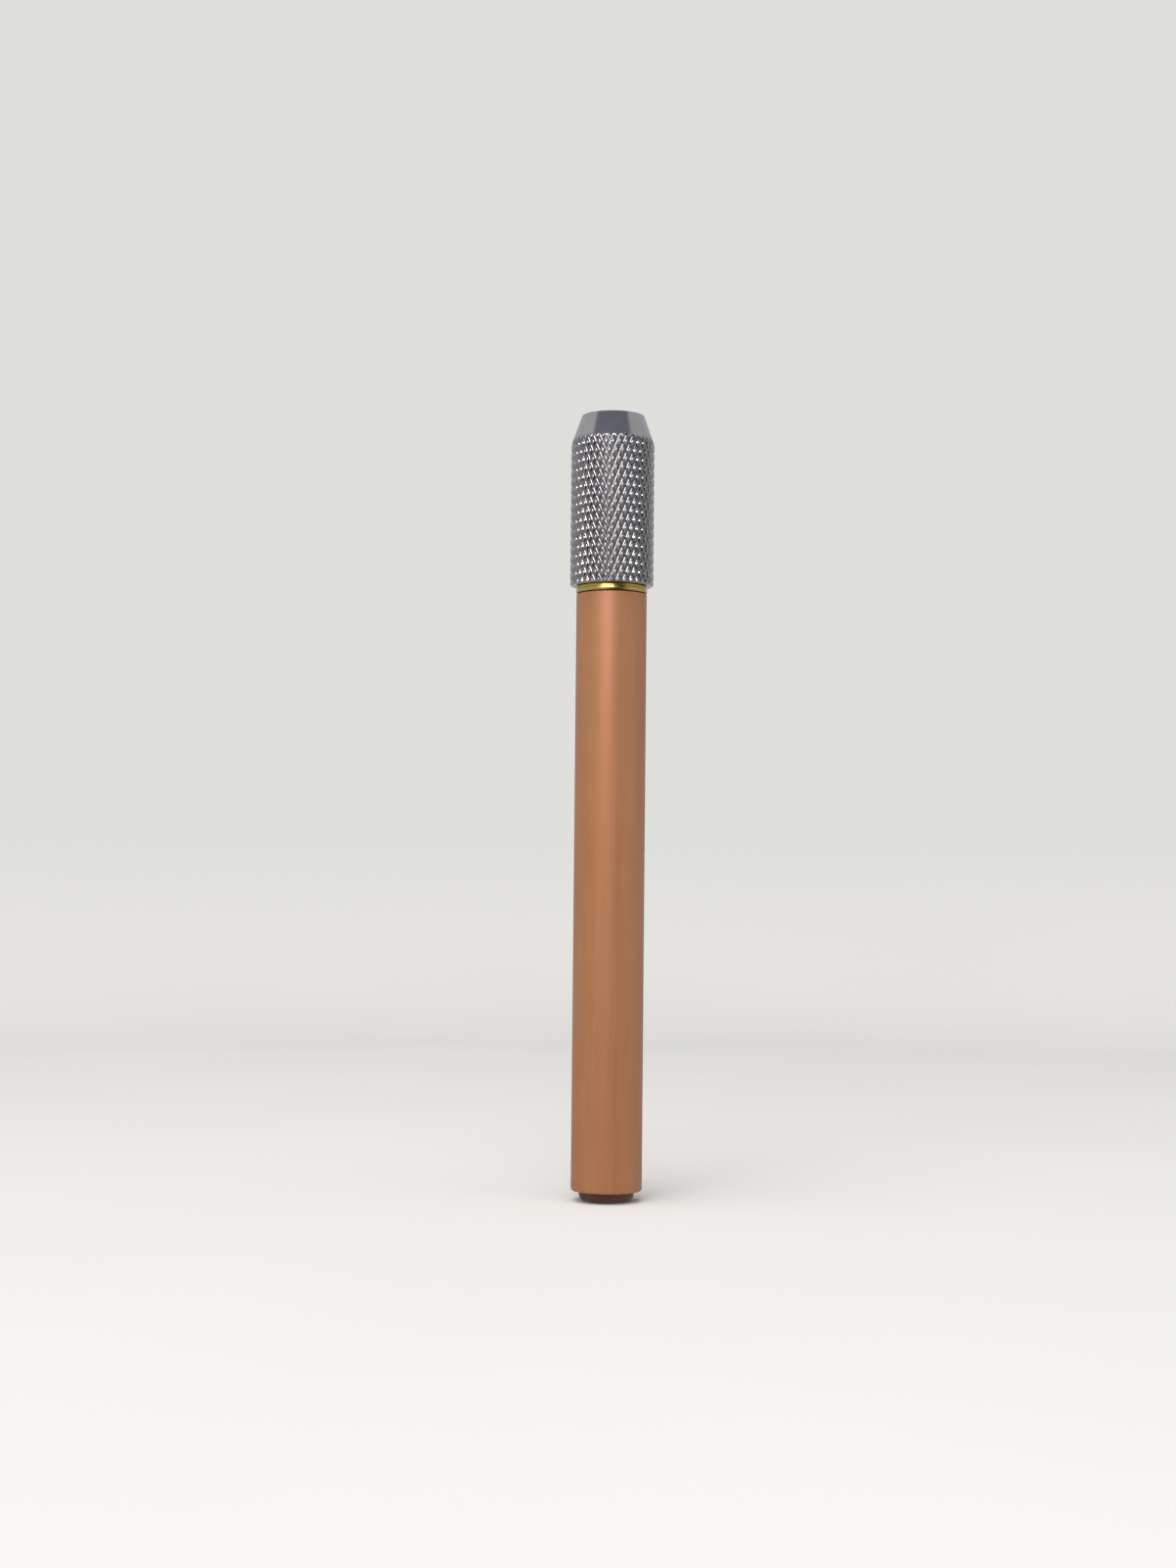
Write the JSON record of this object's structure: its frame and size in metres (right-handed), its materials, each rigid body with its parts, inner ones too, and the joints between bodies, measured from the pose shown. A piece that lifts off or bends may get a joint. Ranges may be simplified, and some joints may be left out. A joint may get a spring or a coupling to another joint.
{
  "type": "pencil extender",
  "caption": "Slim metal pencil extender: tubular barrel, split brass collet, knurled screw nut and end plug.",
  "frame": {"origin": "centre of the end plug's flat face, which the part stands on", "axes": "+Z along the barrel's axis, from the end plug to the mouth that takes the pencil"},
  "size_m": [0.012, 0.012, 0.1134],
  "materials": {
    "copper_paint": "satin metallic",
    "brass": "polished, turned",
    "chrome": "polished, knurled",
    "brown_plastic": "satin"
  },
  "bodies": {
    "barrel": {"barrel_tube": "copper_paint", "end_plug": "brown_plastic", "collet_body": "brass"},
    "nut_nose": {"nut_nose": "chrome"},
    "clamp_nut": {"clamp_nut": "chrome"},
    "jaw_1": {"collet_jaw_1": "brass"},
    "jaw_2": {"collet_jaw_2": "brass"},
    "jaw_3": {"collet_jaw_3": "brass"},
    "jaw_4": {"collet_jaw_4": "brass"}
  },
  "joints": [
    {"name": "nut_travel", "type": "slide", "parent": "barrel", "child": "nut_nose", "axis": [0, 0, 1], "range_m": [0, 0.004]},
    {"name": "nut_turn", "type": "hinge", "parent": "nut_nose", "child": "clamp_nut", "pos_m": [0, 0, 0.0995], "axis": [0, 0, 1], "range_deg": [0, 1440]},
    {"name": "jaw_1_flex", "type": "hinge", "parent": "barrel", "child": "jaw_1", "pos_m": [0.00425, 0, 0.097], "axis": [0, 1, 0], "range_deg": [0, 1.8]},
    {"name": "jaw_2_flex", "type": "hinge", "parent": "barrel", "child": "jaw_2", "pos_m": [0, 0.00425, 0.097], "axis": [-1, 0, 0], "range_deg": [0, 1.8]},
    {"name": "jaw_3_flex", "type": "hinge", "parent": "barrel", "child": "jaw_3", "pos_m": [-0.00425, 0, 0.097], "axis": [0, -1, 0], "range_deg": [0, 1.8]},
    {"name": "jaw_4_flex", "type": "hinge", "parent": "barrel", "child": "jaw_4", "pos_m": [0, -0.00425, 0.097], "axis": [1, 0, 0], "range_deg": [0, 1.8]}
  ],
  "couplings": [
    {"joint": "nut_travel", "follows": "nut_turn", "m_per_rad": 0.00015915},
    {"joint": "jaw_1_flex", "follows": "nut_turn", "ratio": 0.00125},
    {"joint": "jaw_2_flex", "follows": "nut_turn", "ratio": 0.00125},
    {"joint": "jaw_3_flex", "follows": "nut_turn", "ratio": 0.00125},
    {"joint": "jaw_4_flex", "follows": "nut_turn", "ratio": 0.00125}
  ]
}
